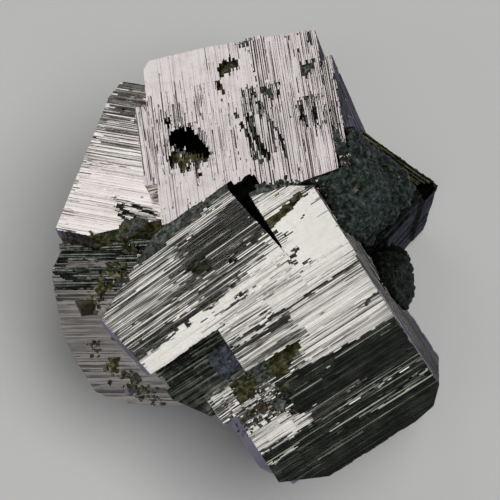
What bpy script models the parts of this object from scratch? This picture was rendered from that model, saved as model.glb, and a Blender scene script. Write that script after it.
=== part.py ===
"""A group of intergrown, striated pyrite crystals with a little grey-green rock left between them.

The crystals are placed in picture axes: x runs right, y runs up and z comes towards someone who looks
at the group's best side. The finished group is leaned back and cut off flat, so that it rests on z = 0.
Lengths in the tables are in millimetres and angles in degrees.
"""

import math
import random
from typing import NamedTuple

import bmesh
import bpy
from mathutils import Euler, Matrix, Vector, noise

# Driving dimensions
MM = 0.001
LEAN = 20.0  # how far the best side is tipped back from facing the viewer, towards facing up
BASE_BELOW = 30.0  # from the picture's centre down to the flat cut
BASE_BACK = 6.0  # how far behind the picture's centre the middle of the cut lies
ROCK_GAP = 0.3  # clear gap between rock and crystals

# Growth steps on the crystal faces
STEP_WIDTH = (1.1, 3.4)
STEP_DEPTH = 0.55
STEP_RISE = 0.22
SLAB_MARGIN = 4.0  # how far a slab's outline runs past the faces that other slabs cut

AXES = (Vector((1, 0, 0)), Vector((0, 1, 0)), Vector((0, 0, 1)))


class Crystal(NamedTuple):
    """A crystal's own axes: x to its right, y up its best face, z out of that face."""

    origin: tuple
    turn: tuple
    grain: str  # the axis that the striations on its best face follow


class Block(NamedTuple):
    """One blocky growth of a crystal, as its reach along the crystal's axes."""

    name: str
    crystal: str
    x: tuple
    y: tuple
    z: tuple
    tilt: tuple = (0, 0, 0)
    trims: tuple = ()


class Trim(NamedTuple):
    """A cut through the best face: the waste is left of the line, which leans outwards behind the face."""

    start: tuple
    end: tuple
    lean: float = 0


CRYSTALS = {
    "top": Crystal((-21.9, 37.7, 1.0), (-27, -8.5, 12.5), "Y"),
    "left": Crystal((-27.7, 34.9, -8.0), (-28, -18, -10), "X"),
    "low": Crystal((-39.5, 0.0, 5.0), (4, -15, 1), "X"),
    "front": Crystal((0.0, 0.0, 22.0), (1, -7, 33), "X"),
    "right": Crystal((38.6, 14.4, -15.0), (-26, -15, -36.7), "X"),
}

BLOCKS = (
    Block("top_main", "top", (0, 35.8), (-37.5, 0), (-44, 0), (0, 0, 0),
          (Trim((0, -2.6), (1.9, 0)), Trim((8, 0.2), (36, -2)), Trim((36, -33.4), (12, -37.2)))),
    Block("top_side", "top", (28, 37.8), (-29, -2.6), (-44, -9), (0, -1.5, 0)),
    Block("top_edge", "top", (31, 37.7), (-28, -8.6), (-30, -1.0), (0, 1.0, 0)),
    Block("top_flank", "top", (-2.8, 3), (-27.5, -9), (-20, -1.6), (0, 0, 1)),
    Block("top_cap", "top", (19.6, 25.2), (-16, 0.5), (-30, -0.9), (0, 0, -1)),
    Block("left_main", "left", (0, 32), (-36.5, 0), (-30, 0), (0, 0, 0),
          (Trim((0, -5.5), (1.6, 0)), Trim((24, -28.4), (6.6, -36.8)))),
    Block("left_step", "left", (9, 28), (-36, -26.5), (-24, -1.1), (0, 0, -2), (Trim((24, -27.9), (6.6, -36.1)),)),
    Block("low_main", "low", (0, 36), (-30, 0), (-30, 0), (0, 0, 0),
          (Trim((0, -4), (2.4, 0)), Trim((12, -29.8), (8.2, -28.2)), Trim((8.2, -28.2), (4.5, -22.3)),
           Trim((4.5, -22.3), (1.8, -16.9)), Trim((1.8, -16.9), (0, -5)))),
    Block("low_ledge", "low", (1.2, 30), (-6.5, 1.8), (-24, -1.3), (0, 0, 2)),
    Block("low_toe", "low", (14, 29), (-31.5, -20), (-22, -2.2), (0, 0, -3)),
    Block("front_upper", "front", (-32.4, 10), (-9.8, 17), (-36, -0.6), (0.4, 0, 0),
          (Trim((-31.6, 4.2), (-19.4, 9.8), 45), Trim((-19.4, 9.8), (-5.4, 11.6), 42),
           Trim((-5.4, 11.6), (3.2, 11.8), 30), Trim((2.9, 10.1), (4.8, -1.5), 40),
           Trim((-29.4, -10), (-31.5, 1.5)))),
    Block("front_crest", "front", (4.9, 16.6), (-12, 11.5), (-36, 0), (0, 0.4, 0),
          (Trim((5.4, 7.7), (14.6, 5.1), 48), Trim((14.4, 5.1), (17.2, 3.2)))),
    Block("front_main", "front", (-13.8, 16.2), (-44.6, -9.1), (-40, -0.5), (0, 0, 0),
          (Trim((16.5, -40.4), (13.0, -43.6)), Trim((13.0, -43.6), (6.0, -44.7)),
           Trim((-10.5, -44.6), (-19.6, -40.3)))),
    Block("front_bridge", "front", (-12.0, 9.5), (-14, -2.5), (-34, -0.9), (0.6, 0, 0)),
    Block("front_step_a", "front", (-3.3, 16.3), (-15, -6.0), (-12, 0.1), (0, 0, 0.4)),
    Block("front_step_b", "front", (-1.8, 16.4), (-22, -13.6), (-12, 0.2), (0.3, 0, 0)),
    Block("front_step_c", "front", (-8.7, 16.2), (-41.5, -21.4), (-12, 0.1), (-0.3, 0, 0)),
    Block("front_lower", "front", (-19.6, -11), (-44, -20.2), (-34, -0.4), (0, 0.5, 0),
          (Trim((-10.5, -44.6), (-18.6, -40.8)),)),
    Block("front_notch", "front", (-29.4, -12), (-23.4, -9.0), (-34, -3.6), (-1.0, 1.0, 0),
          (Trim((-24.0, -23.5), (-29.5, -15.2)),)),
    Block("front_flank", "front", (-22.8, -12), (-42.5, -22.0), (-30, -2.4), (0, 4, 1),
          (Trim((-17.6, -42.8), (-22.9, -34)),)),
    Block("front_chip", "front", (-23.5, -14), (-25.4, -18.5), (-14, -1.6), (2, 3, 2)),
    Block("right_main", "right", (-30, 0), (-32, 0), (-29, 0)),
    Block("right_ledge", "right", (-26, 0.8), (-4.2, 0.5), (-20, -1.2), (0, 1, 0)),
)

# Hollows in the best faces, as reaches along the crystal's axes
PITS = (
    Block("pit_roof", "top", (4.6, 11.6), (-21.6, -16.9), (-5.4, 3), (4, 6, 0)),
    Block("pit_floor", "top", (3.5, 10.2), (-25.6, -21.4), (-2.8, 3), (0, 0, 4)),
    Block("pit_spur", "top", (7.4, 9.0), (-28.8, -25.2), (-1.8, 3), (0, 0, 0)),
    Block("pit_small", "top", (16.0, 18.8), (-8.5, -5.0), (-1.7, 3), (0, 0, 14)),
    Block("pit_tiny", "top", (14.3, 15.8), (-12.0, -10.0), (-1.2, 3), (0, 0, 10)),
    Block("pit_front", "front", (-6.2, -3.4), (0.6, 3.2), (-2.6, 3), (0, 0, 20)),
    Block("pit_rough", "front", (-15.5, -9.5), (-27.5, -22.0), (-2.6, 3), (3, -5, 4)),
)

# Small crystals grown on the larger ones: the crystal, a place on it, an edge length and a turn
BUDS = (
    ("low", (6.8, -11.6, 0.1), 2.6, (20, 30, 12)),
    ("low", (10.1, -8.1, 0.0), 2.2, (-25, 18, 40)),
    ("low", (12.6, -17.5, -0.1), 2.3, (35, -20, 25)),
    ("low", (12.2, -22.4, -0.4), 3.0, (15, 35, 10)),
    ("low", (16.6, -25.9, -0.5), 2.6, (-30, 10, 33)),
    ("front", (-8.6, -25.6, -0.6), 2.2, (28, 22, 15)),
    ("front", (-11.4, -28.2, -0.4), 2.4, (-18, 30, 40)),
    ("front", (-14.8, -26.6, -0.8), 1.8, (40, 10, 20)),
)

# The rock's pieces, each as ellipsoid lumps: the crystal whose axes they follow, centre, radii
ROCKS = {
    "matrix_main": (
        ("front", (-1.0, 5.0, -39.0), (29.0, 30.0, 21.0)),
    ),
    "matrix_right": (
        ("right", (-12.5, -15.5, -0.5), (14.5, 13.5, 7.0)),
        ("right", (-11.0, -35.5, -5.5), (10.2, 10.5, 10.0)),
        ("front", (19.0, 1.5, -17.5), (9.5, 14.5, 14.0)),
        ("front", (20.5, 6.0, -12.5), (7.5, 7.5, 8.0)),
    ),
    "matrix_pocket": (("left", (19.5, -34.2, -1.8), (6.5, 5.0, 4.2)),),
    "matrix_notch": (("front", (-16.2, -16.2, -3.8), (3.7, 3.9, 1.8)),),
    "matrix_corner": (("low", (58.5, -8.9, -27.0), (8.3, 13.0, 14.0)),),
}
RIGHT_OF_IT = Block("right_of_the_right_crystal", "right", (-0.9, 30), (-60, 10), (-40, 40))
LEFT_OF_IT = Block("left_of_its_right_side", "right", (-60, -0.9), (-60, 10), (-60, 40))
ROCK_LIMITS = {"matrix_main": (RIGHT_OF_IT,), "matrix_right": (RIGHT_OF_IT,), "matrix_corner": (LEFT_OF_IT,)}
ROCK_ROUGHNESS = 1.3
ROCK_GRAIN = 5.0
ROCK_DETAIL = 3  # subdivisions of each lump

FAR = 90.0  # past any part of the group, for the cutters
PARTS = "pyrite specimen"
WORKSHOP = "cutters and pieces not joined yet"


def clear_scene():
    for old in list(bpy.data.objects):
        bpy.data.objects.remove(old)


def make_collections():
    for name in (PARTS, WORKSHOP):
        bpy.context.scene.collection.children.link(bpy.data.collections.new(name))


def material(name, colour, roughness, metallic):
    made = bpy.data.materials.new(name)
    made.use_nodes = True
    shader = made.node_tree.nodes["Principled BSDF"]
    shader.inputs["Base Color"].default_value = (*colour, 1)
    shader.inputs["Roughness"].default_value = roughness
    shader.inputs["Metallic"].default_value = metallic
    return made


def workshop_object(name, data):
    made = bpy.data.objects.new(name, data)
    bpy.data.collections[WORKSHOP].objects.link(made)
    return made


def evaluated_mesh(obj):
    bpy.context.view_layer.update()
    graph = bpy.context.evaluated_depsgraph_get()
    return bpy.data.meshes.new_from_object(obj.evaluated_get(graph), depsgraph=graph)


def combine(target, other, operation):
    """Joins, cuts or intersects target with other, and removes other."""
    modifier = target.modifiers.new(operation.lower(), "BOOLEAN")
    modifier.operation = operation
    modifier.solver = "EXACT"
    modifier.object = other
    mesh = evaluated_mesh(target)
    target.modifiers.clear()
    target.data = mesh
    bpy.data.objects.remove(other)


def outline_mesh(points, length):
    """A flat closed outline in the XY plane, extruded evenly to both sides along Z."""
    curve = bpy.data.curves.new("outline", "CURVE")
    curve.dimensions = "2D"
    curve.fill_mode = "BOTH"
    curve.extrude = length / 2
    spline = curve.splines.new("POLY")
    spline.points.add(len(points) - 1)
    for point, (u, v) in zip(spline.points, points):
        point.co = (u, v, 0, 1)
    spline.use_cyclic_u = True
    holder = workshop_object("outline", curve)
    mesh = evaluated_mesh(holder)
    bpy.data.objects.remove(holder)
    welded = bmesh.new()
    welded.from_mesh(mesh)
    bmesh.ops.remove_doubles(welded, verts=welded.verts, dist=1e-6)
    bmesh.ops.recalc_face_normals(welded, faces=welded.faces)
    welded.to_mesh(mesh)
    welded.free()
    return mesh


def growth_steps(low, high, rng):
    """Terraces from low to high, each as its start, end and depth below the face."""
    terraces = []
    at = low - SLAB_MARGIN
    depth = rng.uniform(0, STEP_RISE)
    while at < high + SLAB_MARGIN:
        end = at + rng.uniform(*STEP_WIDTH)
        terraces.append((at, end, depth))
        change = rng.choice((-1, 1)) * rng.uniform(0.5, 1) * STEP_RISE
        if not 0 <= depth + change <= STEP_DEPTH:
            change = -change
        depth += change
        at = end
    return terraces


def stepped_outline(across, height, rng):
    """The outline of a slab whose two faces carry growth steps."""
    top = []
    for start, end, depth in growth_steps(*across, rng):
        top += [(start, height[1] - depth), (end, height[1] - depth)]
    bottom = []
    for start, end, depth in growth_steps(*across, rng):
        bottom += [(start, height[0] + depth), (end, height[0] + depth)]
    return top + bottom[::-1]


def striated_block(block):
    """A block whose three pairs of faces are striated at right angles to each other, as pyrite's are."""
    rng = random.Random(block.name)
    reach = (block.x, block.y, block.z)
    order = 1 if CRYSTALS[block.crystal].grain == "X" else 2
    made = None
    for along in range(3):
        across = (along + order) % 3
        height = (along + 2 * order) % 3
        outline = stepped_outline(reach[across], reach[height], rng)
        length = reach[along][1] - reach[along][0] + 2 * SLAB_MARGIN
        mesh = outline_mesh(outline, length)
        third = AXES[across].cross(AXES[height])
        basis = Matrix((AXES[across], AXES[height], third)).transposed().to_4x4()
        middle = AXES[along] * (sum(reach[along]) / 2)
        mesh.transform(Matrix.Translation(middle) @ basis)
        slab = workshop_object(block.name, mesh)
        if made is None:
            made = slab
        else:
            combine(made, slab, "INTERSECT")
    return made


def plain_box(name, low, high):
    size = [b - a for a, b in zip(low, high)]
    middle = [(a + b) / 2 for a, b in zip(low, high)]
    mesh = bpy.data.meshes.new(name)
    box = bmesh.new()
    bmesh.ops.create_cube(box, size=1, matrix=Matrix.Translation(middle) @ Matrix.Diagonal((*size, 1)))
    box.to_mesh(mesh)
    box.free()
    return workshop_object(name, mesh)


def trim(obj, cut, level):
    """Cuts away what lies to the left of the cut's line, which is drawn on the face at this level."""
    start, end = (Vector((*point, level)) for point in (cut.start, cut.end))
    along = end - start
    cutter = plain_box("trim", (-FAR, 0, -FAR), (FAR, FAR, FAR))
    heading = Matrix.Rotation(math.atan2(along.y, along.x), 4, "Z")
    lean = Matrix.Rotation(math.radians(cut.lean), 4, "X")
    cutter.data.transform(Matrix.Translation(start) @ heading @ lean)
    combine(obj, cutter, "DIFFERENCE")


def tilt_matrix(block):
    middle = Vector([sum(reach) / 2 for reach in (block.x, block.y, block.z)])
    turn = Euler([math.radians(angle) for angle in block.tilt]).to_matrix().to_4x4()
    return Matrix.Translation(middle) @ turn @ Matrix.Translation(-middle)


def crystal_matrix(name):
    crystal = CRYSTALS[name]
    turn = Euler([math.radians(angle) for angle in crystal.turn]).to_matrix().to_4x4()
    return Matrix.Translation(crystal.origin) @ turn


def crystal_block(block):
    obj = striated_block(block)
    obj.data.transform(tilt_matrix(block))
    for cut in block.trims:
        trim(obj, cut, block.z[1])
    obj.data.transform(crystal_matrix(block.crystal))
    return obj


def pit_cutter(pit):
    low, high = zip(pit.x, pit.y, pit.z)
    obj = plain_box(pit.name, low, high)
    obj.data.transform(crystal_matrix(pit.crystal) @ tilt_matrix(pit))
    return obj


def bud(crystal, place, edge, turn):
    obj = plain_box("bud", (-edge / 2,) * 3, (edge / 2,) * 3)
    rotation = Euler([math.radians(angle) for angle in turn]).to_matrix().to_4x4()
    obj.data.transform(crystal_matrix(crystal) @ Matrix.Translation(place) @ rotation)
    return obj


def intergrown_crystals():
    """Every block and bud joined in one solid, with its pits."""
    group = crystal_block(BLOCKS[0])
    group.name = "pyrite_crystals"
    for block in BLOCKS[1:]:
        combine(group, crystal_block(block), "UNION")
    for each in BUDS:
        combine(group, bud(*each), "UNION")
    for pit in PITS:
        combine(group, pit_cutter(pit), "DIFFERENCE")
    return group


def rough_lump(crystal, centre, radii):
    """An ellipsoid with an uneven, broken surface."""
    mesh = bpy.data.meshes.new("lump")
    lump = bmesh.new()
    bmesh.ops.create_icosphere(lump, subdivisions=ROCK_DETAIL, radius=1)
    for vert in lump.verts:
        outward = vert.co.normalized()
        place = Vector(centre) + Vector([r * c for r, c in zip(radii, outward)])
        vert.co = place + outward * ROCK_ROUGHNESS * noise.noise(place / ROCK_GRAIN)
    lump.to_mesh(mesh)
    lump.free()
    mesh.transform(crystal_matrix(crystal))
    return workshop_object("lump", mesh)


def widened(cut):
    """The cut moved outwards by the gap."""
    start, end = Vector(cut.start), Vector(cut.end)
    outward = (end - start).normalized().orthogonal() * ROCK_GAP / math.cos(math.radians(cut.lean))
    return cut._replace(start=tuple(start + outward), end=tuple(end + outward))


def room_for(block):
    """The plain form of a block with its trims, widened by the gap, which the rock leaves free."""
    low = [reach[0] - ROCK_GAP for reach in (block.x, block.y, block.z)]
    high = [reach[1] + ROCK_GAP for reach in (block.x, block.y, block.z)]
    obj = plain_box("room", low, high)
    obj.data.transform(tilt_matrix(block))
    for cut in block.trims:
        trim(obj, widened(cut), block.z[1])
    obj.data.transform(crystal_matrix(block.crystal))
    return obj


def largest_body(obj):
    """Keeps the largest of obj's separate bodies, which also fills any hollow closed up inside it."""
    whole = bmesh.new()
    whole.from_mesh(obj.data)
    left = set(whole.faces)
    bodies = []
    while left:
        reached = [left.pop()]
        body = []
        while reached:
            face = reached.pop()
            body.append(face)
            for edge in face.edges:
                for other in edge.link_faces:
                    if other in left:
                        left.discard(other)
                        reached.append(other)
        bodies.append(body)
    bodies.sort(key=len)
    for body in bodies[:-1]:
        bmesh.ops.delete(whole, geom=body, context="FACES")
    whole.to_mesh(obj.data)
    whole.free()


def rock(name, lumps):
    """A piece of rock between the crystals: its lumps joined, less the room that others take."""
    group = rough_lump(*lumps[0])
    group.name = name
    for lump in lumps[1:]:
        combine(group, rough_lump(*lump), "UNION")
    for block in BLOCKS + ROCK_LIMITS.get(name, ()):
        combine(group, room_for(block), "DIFFERENCE")
    return group


def seat(obj):
    """Leans obj back, cuts it off flat at z = 0 and brings it to its real size."""
    lean = Matrix.Rotation(math.radians(LEAN), 4, "X")
    lift = Matrix.Translation((0, -BASE_BACK, BASE_BELOW))
    obj.data.transform(lift @ lean)
    combine(obj, plain_box("ground", (-FAR, -FAR, -FAR), (FAR, FAR, 0)), "DIFFERENCE")
    obj.data.transform(Matrix.Diagonal((MM, MM, MM, 1)))


def finish(obj, surface):
    """Keeps one body, shades it flat, gives it its material and puts it with the parts."""
    largest_body(obj)
    obj.data.polygons.foreach_set("use_smooth", [False] * len(obj.data.polygons))
    obj.data.materials.clear()
    obj.data.materials.append(surface)
    bpy.data.collections[WORKSHOP].objects.unlink(obj)
    bpy.data.collections[PARTS].objects.link(obj)


def main():
    clear_scene()
    make_collections()
    crystals = intergrown_crystals()
    seat(crystals)
    finish(crystals, material("pyrite", (0.72, 0.69, 0.61), 0.28, 1.0))
    stone = material("grey_green_rock", (0.12, 0.15, 0.14), 0.8, 0.0)
    for name, lumps in ROCKS.items():
        piece = rock(name, lumps)
        seat(piece)
        finish(piece, stone)


main()
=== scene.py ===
"""The looks of the pyrite group: finely striated crystals, granular rock, a pale floor and soft light.

The crystals are placed as in the CAD: in picture axes, where x runs right, y runs up and z comes towards
the viewer, and then leaned back onto the floor. Lengths in the tables are in millimetres, angles in degrees.
"""

import math
import random
from typing import NamedTuple

import bmesh
import bpy
import numpy as np
from mathutils import Euler, Matrix, Vector, noise


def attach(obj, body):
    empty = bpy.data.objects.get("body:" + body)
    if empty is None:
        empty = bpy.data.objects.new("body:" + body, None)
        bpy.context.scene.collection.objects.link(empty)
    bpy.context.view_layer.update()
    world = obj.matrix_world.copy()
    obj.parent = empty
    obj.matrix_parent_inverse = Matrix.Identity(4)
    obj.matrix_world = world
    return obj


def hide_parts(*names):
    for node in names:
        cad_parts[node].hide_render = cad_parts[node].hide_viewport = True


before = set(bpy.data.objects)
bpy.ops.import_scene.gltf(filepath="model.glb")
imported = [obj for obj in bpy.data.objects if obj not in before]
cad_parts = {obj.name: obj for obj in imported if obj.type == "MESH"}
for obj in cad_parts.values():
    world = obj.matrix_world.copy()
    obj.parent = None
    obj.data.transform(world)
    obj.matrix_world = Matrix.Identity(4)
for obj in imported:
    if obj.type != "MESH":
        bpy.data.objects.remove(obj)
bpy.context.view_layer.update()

# Driving dimensions, as in the CAD
MM = 0.001
LEAN = 20.0
BASE_BELOW = 30.0
BASE_BACK = 6.0
CAMERA_DISTANCE = 400.0
LENS = 144.0
SENSOR = 36.0
NEAREST = 0.01  # where the camera's view starts, in metres
FAR = 90.0

# Striations
MARGIN = 2.5  # how far a relief runs past the faces that the others cut
ROW_GAP = 0.006  # width of the steep step between two striae
STEP_WIDTH = (1.1, 3.4)
STEP_DEPTH = 0.3
STEP_RISE = 0.12
END_JITTER = 0.4  # how unevenly the striae of one plate end
TONE_JITTER = 2.0  # and how far the tones of two neighbouring patches run into each other
RAGGED = 0.55  # how far the borders of the patches wander
RAGGED_WAVE = 1.4
RAGGED_SEED = 7
MAP_CELL = 0.1  # fineness of the map that the patches are looked up in
MAP_REACH = 50.0
RIB = 0.8  # how much every second stria turns away more, in shares of the spread
DASH_SHARE = 0.05  # short dark gaps
DASH_TURN = 26.0
DASH_DEPTH = (0.1, 0.4)
GLINT_SHARE = 0.035  # striae that lie nearly flat even where the others turn away
GLINT_TURN = 0.25
COURSE = 3.5  # distance over which the turn of a stria changes
WHOLE_RUN = 24.0  # mean length of an unbroken stria
BROKEN_RUN = 0.7
GROOVE_SHARE = 0.16
GROOVE_WIDTH = (0.07, 0.13)
GROOVE_DEPTH = (0.05, 0.2)
GROOVE_OPEN = 0.7  # share of the grooves' length that is deep
CHIP_SHARE = 0.6  # how often striae are chipped where a patch is broken up, and how deep
CHIP_DEPTH = 0.22
SLOPE_WHOLE = 0.02  # how unlevel a stria lies in whole patches, and how much more in broken ones
SLOPE_BROKEN = 0.12
SLOPE_REACH = 1.5
LEVEL_JITTER = 0.03
STREAK_LENGTH = 9.0  # size of the streaks of neighbouring striae that turn alike
STREAK_WIDTH = 0.9
OWN_SHARE = 0.45  # what a stria's own chance, its streak and its course add to its turn, in spreads
STREAK_SHARE = 0.9
COURSE_SHARE = 0.4
ALIKE = 0.8  # share of the striae that turn the same way
SKIN = 0.12  # mean depth of the striae below the face

# Four finishes paint light into the colour: a darker greenish metal and a dark metal for shade, a near black
# for the deepest shade, and a pale lavender for a reflection
CLEAN, ROSY, PAINTED_SHADE, DULL, GOLDEN, BAND, LAVENDER_REFLECTION, OLIVE, DARK_SHADE, BLACK_SHADE, BRASSY = range(11)


class Patch(NamedTuple):
    """A part of a face: its outline, its striae's turn from the face, how broken and how high it is."""

    outline: tuple
    turn: float
    spread: float = 3.0
    broken: float = 0.0
    rise: float = 0.0
    finish: int = CLEAN


class Crystal(NamedTuple):
    """A crystal's own axes: x to its right, y up its best face, z out of that face."""

    origin: tuple
    turn: tuple
    grain: str  # the axis that the striations on its best face follow
    sense: int  # which way most striae turn, 1 towards the top or the right
    face: Patch  # what its best face is like where no patch says otherwise
    sides: Patch


class Trim(NamedTuple):
    """A cut through the best face: the waste is left of the line, which leans outwards behind the face."""

    start: tuple
    end: tuple
    lean: float = 0
    finish: int = DULL


class Block(NamedTuple):
    """One blocky growth of a crystal, as its reach along the crystal's axes."""

    piece: str
    crystal: str
    x: tuple
    y: tuple
    z: tuple
    tilt: tuple = (0, 0, 0)
    trims: tuple = ()
    own: Patch = None  # what its upper face is like where it differs from the rest of the crystal


def box(left, right, low, high):
    """The outline of an upright patch."""
    return ((left, low), (right, low), (right, high), (left, high))


class Grain(NamedTuple):
    """How fine a relief is: width of the striae, spacing of the columns that cut them."""

    row: tuple
    column: tuple


FINE = Grain((0.12, 0.3), (0.35, 1.0))
MEDIUM = Grain((0.3, 0.9), (1.2, 2.8))

CRYSTALS = {
    "top": Crystal((-21.9, 37.7, 1.0), (-27, -8.5, 12.5), "Y", 1,
                   Patch((), 1.5, 3.5, 0.05, 0, ROSY), Patch((), 4, 6, 0.05)),
    "left": Crystal((-27.7, 34.9, -8.0), (-28, -18, -10), "X", 1,
                    Patch((), 3, 5), Patch((), 4, 6, 0.05)),
    "low": Crystal((-39.5, 0.0, 5.0), (4, -15, 1), "X", -1,
                   Patch((), 1.5, 4.5, 0.0, 0, DULL), Patch((), 4, 6, 0.05)),
    "front": Crystal((0.0, 0.0, 22.0), (1, -7, 33), "X", -1,
                     Patch((), 9, 5), Patch((), 4, 6, 0.05)),
    # the right crystal wears the dark metal all over, the finish that elsewhere paints shade
    "right": Crystal((38.6, 14.4, -15.0), (-26, -15, -36.7), "X", 1,
                     Patch((), 3, 5, 0.0, 0, DARK_SHADE),
                     Patch((), 4, 6, 0.05, 0, DARK_SHADE)),
}

BLOCKS = {
    "top_main": Block("pyrite_top", "top", (0, 35.8), (-37.5, 0), (-44, 0), (0, 0, 0),
                      (Trim((0, -2.6), (1.9, 0)), Trim((8, 0.2), (36, -2)),
                       Trim((36, -33.4), (12, -37.2)))),
    "top_side": Block("pyrite_top", "top", (28, 37.8), (-29, -2.6), (-44, -9), (0, -1.5, 0)),
    "top_edge": Block("pyrite_top", "top", (31, 37.7), (-28, -8.6), (-30, -1.0), (0, 1.0, 0)),
    "top_flank": Block("pyrite_top", "top", (-2.8, 3), (-27.5, -9), (-20, -1.6), (0, 0, 1)),
    "top_cap": Block("pyrite_top", "top", (19.6, 25.2), (-16, 0.5), (-30, -0.9), (0, 0, -1)),
    "left_main": Block("pyrite_left", "left", (0, 32), (-36.5, 0), (-30, 0), (0, 0, 0),
                       (Trim((0, -5.5), (1.6, 0)), Trim((24, -28.4), (6.6, -36.8), 0, OLIVE))),
    "left_step": Block("pyrite_left", "left", (9, 28), (-36, -26.5), (-24, -1.1), (0, 0, -2),
                       (Trim((24, -27.9), (6.6, -36.1), 0, OLIVE),)),
    "low_main": Block("pyrite_low", "low", (0, 36), (-30, 0), (-30, 0), (0, 0, 0),
                      (Trim((0, -4), (2.4, 0)), Trim((12, -29.8), (8.2, -28.2)),
                       Trim((8.2, -28.2), (4.5, -22.3)),
                       Trim((4.5, -22.3), (1.8, -16.9)), Trim((1.8, -16.9), (0, -5)))),
    "low_ledge": Block("pyrite_low", "low", (1.2, 30), (-6.5, 1.8), (-24, -1.3), (0, 0, 2)),
    "low_toe": Block("pyrite_low", "low", (14, 29), (-31.5, -20), (-22, -2.2), (0, 0, -3)),
    "front_upper": Block("pyrite_front_upper", "front", (-32.4, 10), (-9.2, 12.9), (-36, -0.6),
                         (0.4, 0, 2.0),
                         (Trim((-31.6, 4.2), (-19.4, 9.8), 5, BAND),
                          Trim((-19.4, 9.8), (-5.4, 11.6), 42, BAND),
                          # the cut from (2.9, 10.1) down is painted black: painted shade in the gap
                          Trim((-5.4, 11.6), (3.2, 11.8), 30, BAND), Trim((2.9, 10.1), (4.7, -1.5), 12,
                                                                          BLACK_SHADE),
                          # the two cuts on the left are painted lavender: a painted reflection
                          Trim((-29.0, -10), (-30.9, 1.5), 25, LAVENDER_REFLECTION),
                          Trim((-30.3, -10), (-32.2, 1.5), 0, LAVENDER_REFLECTION))),
    # the channel and the plug in it are painted black: painted shade in the gap
    "front_channel": Block("pyrite_front_upper", "front", (1.6, 8.1), (-4.3, 12.1), (-33.3, -3.1),
                           (0.5, 0.7, 0.6),
                           own=Patch((), 10, 8, 0.3, 0, BLACK_SHADE)),
    "front_plug": Block("pyrite_front_upper", "front", (2.4, 7.6), (8.6, 12.3), (-20, -1.1), (0, 0, 1),
                        own=Patch((), 10, 8, 0.3, 0, BLACK_SHADE)),
    "front_crest": Block("pyrite_front_upper", "front", (5.2, 16.6), (-12, 11.5), (-36, 0), (0, 0.4, 0),
                         (Trim((5.4, 7.7), (14.6, 5.1), 48, BAND),
                          Trim((14.4, 5.1), (17.2, 3.2), 0, BAND))),
    "front_bridge": Block("pyrite_front_upper", "front", (-12.0, 9.5), (-14, -2.5), (-34, -0.9),
                          (0.6, 0, 0)),
    "front_main": Block("pyrite_front_lower", "front", (-13.8, 16.2), (-44.6, -9.1), (-40, -0.5), (0, 0, 0),
                        (Trim((16.5, -40.4), (13.0, -43.6)), Trim((13.0, -43.6), (6.0, -44.7)),
                         Trim((-10.5, -44.6), (-19.6, -40.3)))),
    "front_lower": Block("pyrite_front_lower", "front", (-20.2, -11), (-44, -20.2), (-34, -0.4),
                         (0, 0.5, 0),
                         (Trim((-10.5, -44.6), (-18.6, -40.8)),)),
    # the notch's face is painted dark: painted shade
    "front_notch": Block("pyrite_front_lower", "front", (-29.4, -12), (-23.4, -9.0), (-34, -3.6),
                         (-1.0, 1.0, 0),
                         (Trim((-24.0, -23.5), (-29.5, -15.2)),), Patch((), 13, 8, 0.05, 0, DARK_SHADE)),
    # its face is painted lavender: a painted reflection
    "front_flank": Block("pyrite_front_lower", "front", (-22.8, -12), (-42.5, -22.0), (-30, -2.4),
                         (0, 4, 1),
                         (Trim((-17.6, -42.8), (-22.9, -34)),), Patch((), 2, 3, 0.02, 0, LAVENDER_REFLECTION)),
    "front_chip": Block("pyrite_front_lower", "front", (-23.5, -14), (-25.4, -18.5), (-14, -1.6),
                        (2, 3, 2)),
    "right_main": Block("pyrite_right", "right", (-30, 0), (-32, 0), (-29, 0)),
    "right_ledge": Block("pyrite_right", "right", (-26, 0.8), (-4.2, 0.5), (-20, -1.2), (0, 1, 0)),
}

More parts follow.
